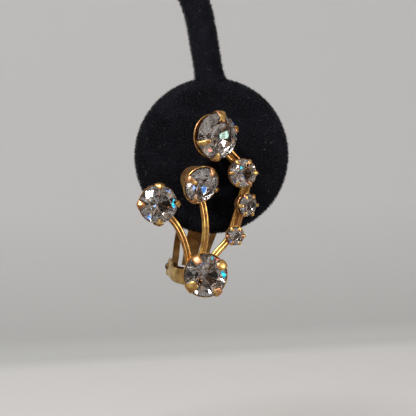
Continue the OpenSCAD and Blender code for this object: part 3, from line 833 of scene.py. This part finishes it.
def painted_falloff_board(name, stops):
    """Matt board whose colour is painted with light and shade that change from its front edge to its top. It
    is clear from behind, so that it hides nothing."""
    material, tree, shader = finish_of(name, Roughness=0.9, Specular_IOR_Level=0.2)
    at = tree.nodes.new("ShaderNodeTexCoord").outputs["Object"]
    run = (-math.sin(wall_turn), math.cos(wall_turn), 1)
    way = put(tree, "ShaderNodeVectorMath", {0: at, 1: run}, operation="DOT_PRODUCT").outputs["Value"]
    first = stops[0][0]
    length = stops[-1][0] - first
    share = put(tree, "ShaderNodeMapRange",
                {"Value": way, "From Min": first, "From Max": first + length}).outputs[0]
    tones = [((place - first) / length, tone) for place, tone in stops]
    tree.links.new(ramp(tree, share, tones), shader.inputs["Base Color"])
    behind = tree.nodes.new("ShaderNodeNewGeometry").outputs["Backfacing"]
    clear = tree.nodes.new("ShaderNodeBsdfTransparent").outputs[0]
    sided = put(tree, "ShaderNodeMixShader", {0: behind, 1: shader.outputs[0], 2: clear}).outputs[0]
    tree.links.new(sided, tree.nodes["Material Output"].inputs["Surface"])
    return material


# Painted light and shade: the table is painted darker toward its front and the wall darker at its foot, in
# place of the light's fall-off
far_table_painted_shade = (0.15, 0.146, 0.14)
near_table_painted_shade = (0.27, 0.263, 0.256)
painted_lit_table_tone = (0.515, 0.505, 0.496)
wall_foot_painted_shade = (0.345, 0.348, 0.338)
wall_top_painted_light = (0.435, 0.43, 0.424)
cove = bmesh.new()
outline = (
    [(-table_front, 0)]
    + [(wall_y - cove_r + y, cove_r + z) for y, z in arc((0, 0), cove_r, -90, 0, cove_steps)]
    + [(wall_y, wall_h)])
line = [cove.verts.new((-table_half, y, z)) for y, z in outline]
edges = [cove.edges.new(pair) for pair in zip(line, line[1:])]
made = bmesh.ops.extrude_edge_only(cove, edges=edges)["geom"]
far_side = [part for part in made if isinstance(part, bmesh.types.BMVert)]
bmesh.ops.translate(cove, verts=far_side, vec=(2 * table_half, 0, 0))
cove.transform(Matrix.Rotation(wall_turn, 4, "Z"))
if sum(face.normal.z * face.calc_area() for face in cove.faces) < 0:
    bmesh.ops.reverse_faces(cove, faces=cove.faces)
in_order(cove)
for face in cove.faces:
    face.smooth = True
cove_mesh = bpy.data.meshes.new("backdrop")
cove.to_mesh(cove_mesh)
cove.free()
cove_mesh.materials.append(painted_falloff_board("pale_board_painted_falloff", [
    (far_front, far_table_painted_shade), (near_front, near_table_painted_shade), (light_from, painted_lit_table_tone),
    (wall_y - cove_r, painted_lit_table_tone), (wall_y, wall_foot_painted_shade), (wall_y + shade_h, wall_top_painted_light)]))
backdrop = bpy.data.objects.new("backdrop", cove_mesh)
bpy.context.scene.collection.objects.link(backdrop)

# Light: a soft window above and to the left, and two weak ones at the sides, in a dim room.
# Faint coloured patches beside the window stand for the colours into which cut glass splits its edges.
spray_at = seats["middle"].at
key_distance = 1.2


def bearing(azimuth, elevation):
    """Direction from the front: azimuth to the right and elevation up, in degrees"""
    turn = math.radians(azimuth)
    rise = math.radians(elevation)
    return Vector((math.sin(turn) * math.cos(rise), -math.cos(turn) * math.cos(rise), math.sin(rise)))


def soft_light(name, at, toward, size, watts):
    """An oval lamp at a place, turned toward another, with its two sizes and its power"""
    light = bpy.data.lights.new(name, "AREA")
    light.shape = "ELLIPSE"
    light.size, light.size_y = size
    light.energy = watts
    lamp = bpy.data.objects.new(name, light)
    lamp.location = at
    lamp.rotation_euler = (Vector(at) - Vector(toward)).to_track_quat("Z", "Y").to_euler()
    bpy.context.scene.collection.objects.link(lamp)


def lit_patch(tree, under, toward, way, half_angle, colour):
    """Lays a small bright patch of the room over what is there, round a direction"""
    near = put(tree, "ShaderNodeVectorMath", {0: toward, 1: way}, operation="DOT_PRODUCT").outputs["Value"]
    inside = put(tree, "ShaderNodeMath", {0: near, 1: math.cos(math.radians(half_angle))},
                 operation="GREATER_THAN").outputs[0]
    return mixed(tree, inside, under, (*colour, 1))


key_at = spray_at + key_distance * bearing(azimuth=-46, elevation=50)
soft_light("key", key_at, toward=spray_at, size=(0.42, 0.28), watts=15)
soft_light("left_window", (-0.4, -0.35, 0.3), toward=spray_at, size=(0.08, 0.08), watts=0.4)
soft_light("right_window", (0.36, -0.3, 0.12), toward=spray_at, size=(0.06, 0.06), watts=0.9)
world = bpy.data.worlds.new("room")
world.use_nodes = True
room = world.node_tree
toward = room.nodes.new("ShaderNodeTexCoord").outputs["Generated"]
wide = ramp(room, spread(room, 2.2, 1, toward), [(0.42, (0.07, 0.062, 0.055)), (0.6, (0.56, 0.52, 0.48))])
fine = ramp(room, spread(room, 9, 1, toward), [
    (0.4, (0.3, 0.28, 0.27)), (0.49, (0.55, 0.52, 0.5)), (0.53, (2.2, 2.1, 2)), (0.57, (0.4, 0.37, 0.35)),
    (0.66, (1.4, 1.1, 0.8))])
sight = mixed(room, 1, wide, fine, blend_type="MULTIPLY")
for azimuth, elevation, half_angle, colour in (
        (-21, 37, 7, (0.2, 0.8, 2.4)),
        (-46, 0, 6.5, (1.4, 2.4, 2.2)),
        (21, 19, 3, (1.6, 1.6, 1.6)),
        (12, 8, 1.8, (1.8, 0.5, 0.4)),
        (28, 7, 2.5, (0.6, 0.9, 1.8)),
        (14.7, -1.4, 1.4, (0.05, 1.5, 2.2))):
    sight = lit_patch(room, sight, toward, bearing(azimuth, elevation), half_angle, colour)
height = put(room, "ShaderNodeSeparateXYZ", {0: toward}).outputs["Z"]
backing = ramp(room, height, [
    (0, (0.08, 0.078, 0.075)), (0.06, (0.13, 0.127, 0.123)), (0.3, (0.3, 0.295, 0.287))])
seen = room.nodes.new("ShaderNodeLightPath").outputs["Is Camera Ray"]
room.links.new(mixed(room, seen, sight, backing), room.nodes["Background"].inputs["Color"])
bpy.context.scene.world = world
bpy.context.scene.view_settings.view_transform = "Standard"

# Camera: a long lens, a little to the left and above the spray, at the photograph's angle. It is aimed
# so that the middle of the pad lies where the photograph has it.
camera_azimuth = -10
camera_elevation = 5
camera_distance = 0.3
focal_px = 1440
frame_px = 416
pad_px = (212, 155.9)
sensor = 36
camera_data = bpy.data.cameras.new("camera")
camera_data.sensor_width = sensor
camera_data.lens = focal_px / frame_px * sensor
camera_data.clip_start = 0.01
camera = bpy.data.objects.new("camera", camera_data)
look = -bearing(camera_azimuth, camera_elevation)
across = look.cross(Vector((0, 0, 1))).normalized()
upward = across.cross(look)
pad_right = (pad_px[0] - frame_px / 2) / focal_px
pad_up = (frame_px / 2 - pad_px[1]) / focal_px
camera.location = pad_centre - camera_distance * (look + pad_right * across + pad_up * upward)
camera.rotation_euler = (-look).to_track_quat("Z", "Y").to_euler()
bpy.context.scene.collection.objects.link(camera)
bpy.context.scene.camera = camera
